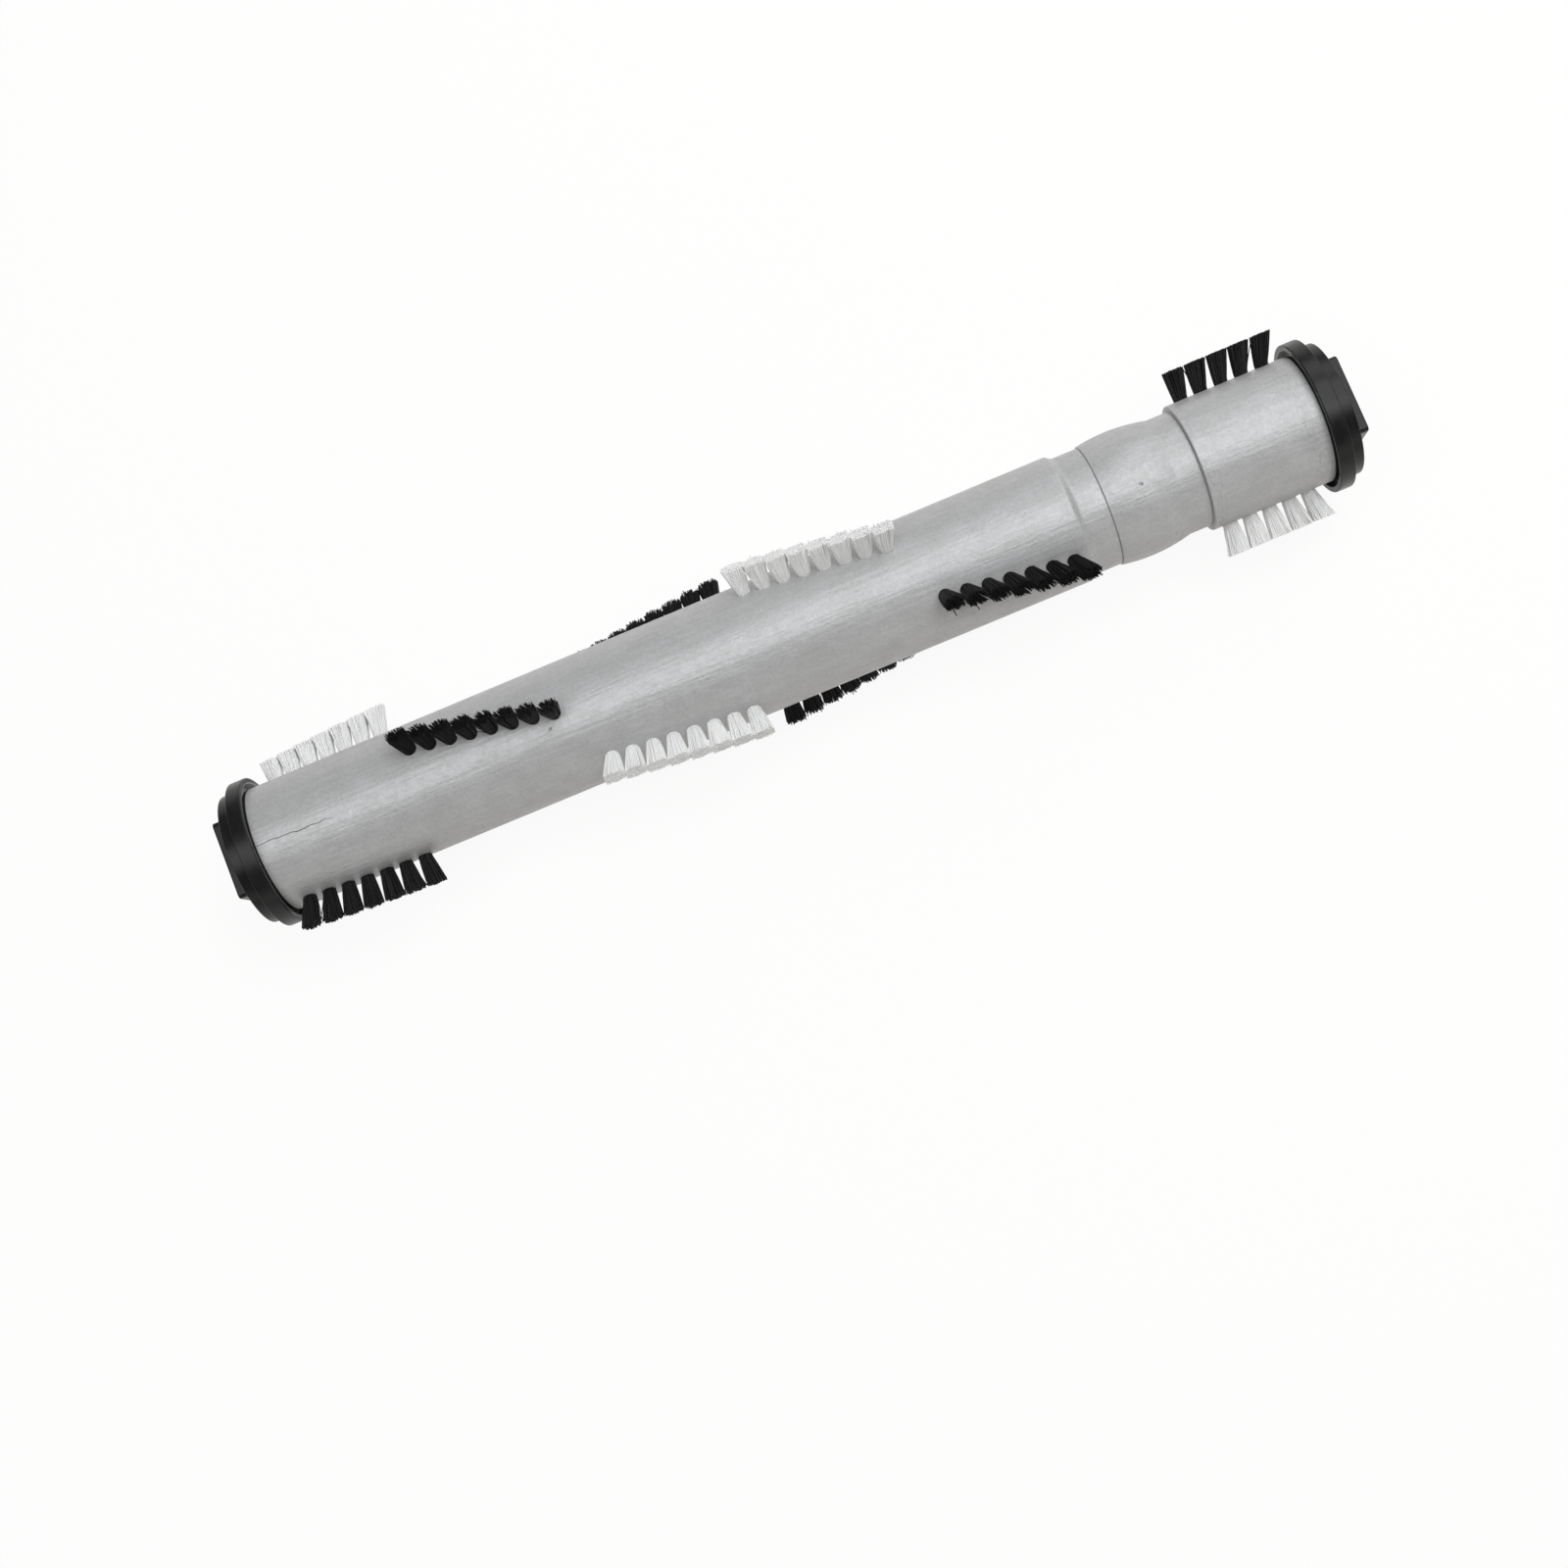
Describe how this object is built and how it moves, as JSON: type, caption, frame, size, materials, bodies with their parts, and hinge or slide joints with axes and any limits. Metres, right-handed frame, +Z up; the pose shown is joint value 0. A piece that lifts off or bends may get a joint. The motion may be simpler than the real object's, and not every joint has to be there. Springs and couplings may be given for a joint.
{
  "type": "vacuum roller brush",
  "caption": "Turned silver-grey roller with a crowned belt seat, helical rows of black and white bristle tufts, and a black cap with a square key at each end.",
  "frame": {"origin": "on the surface that the brush lies on, under the middle of the roller", "axes": "+X along the roller's axis towards the end with the belt seat, +Z up, +Y towards the back"},
  "size_m": [0.3286, 0.0532, 0.0531],
  "materials": {
    "silver_paint": "satin silver grey paint on turned wood",
    "black_bristle": "black nylon bristle",
    "white_bristle": "natural white nylon bristle",
    "black_plastic": "moulded, half gloss",
    "grey_felt": "pressed felt",
    "cage_plastic": "natural polyamide",
    "guard_steel": "zinc plated",
    "wire_steel": "bright wire",
    "bright_steel": "ground"
  },
  "bodies": {
    "roller": {"anchor_wires_1": "wire_steel", "anchor_wires_2": "wire_steel", "anchor_wires_3": "wire_steel", "anchor_wires_4": "wire_steel", "anchor_wires_5": "wire_steel", "anchor_wires_6": "wire_steel", "bearing_inner_race_left": "bright_steel", "bearing_inner_race_right": "bright_steel", "roller_core": "silver_paint", "spindle": "bright_steel", "thread_guard_left": "guard_steel", "thread_guard_right": "guard_steel", "tufts_black_1": "black_bristle", "tufts_black_2": "black_bristle", "tufts_black_3": "black_bristle", "tufts_black_4": "black_bristle", "tufts_black_5": "black_bristle", "tufts_black_6": "black_bristle", "tufts_white_1": "white_bristle", "tufts_white_2": "white_bristle", "tufts_white_3": "white_bristle", "tufts_white_4": "white_bristle", "tufts_white_5": "white_bristle", "tufts_white_6": "white_bristle"},
    "cap_left": {"bearing_outer_race_left": "bright_steel", "bearing_shield_left": "bright_steel", "end_cap_left": "black_plastic", "felt_ring_left": "grey_felt"},
    "cap_right": {"bearing_outer_race_right": "bright_steel", "bearing_shield_right": "bright_steel", "end_cap_right": "black_plastic", "felt_ring_right": "grey_felt"},
    "cage_left": {"bearing_balls_left": "bright_steel", "bearing_cage_left": "cage_plastic"},
    "cage_right": {"bearing_balls_right": "bright_steel", "bearing_cage_right": "cage_plastic"}
  },
  "joints": [
    {"name": "cap_left_turn", "type": "hinge", "parent": "roller", "child": "cap_left", "pos_m": [-0.1596, 0, 0.02657], "axis": [1, 0, 0], "continuous": true},
    {"name": "cage_left_turn", "type": "hinge", "parent": "roller", "child": "cage_left", "pos_m": [-0.1596, 0, 0.02657], "axis": [1, 0, 0], "continuous": true},
    {"name": "cap_right_turn", "type": "hinge", "parent": "roller", "child": "cap_right", "pos_m": [0.1596, 0, 0.02657], "axis": [1, 0, 0], "continuous": true},
    {"name": "cage_right_turn", "type": "hinge", "parent": "roller", "child": "cage_right", "pos_m": [0.1596, 0, 0.02657], "axis": [1, 0, 0], "continuous": true}
  ],
  "couplings": [
    {"joint": "cage_left_turn", "follows": "cap_left_turn", "ratio": 0.64},
    {"joint": "cage_right_turn", "follows": "cap_right_turn", "ratio": 0.64}
  ]
}
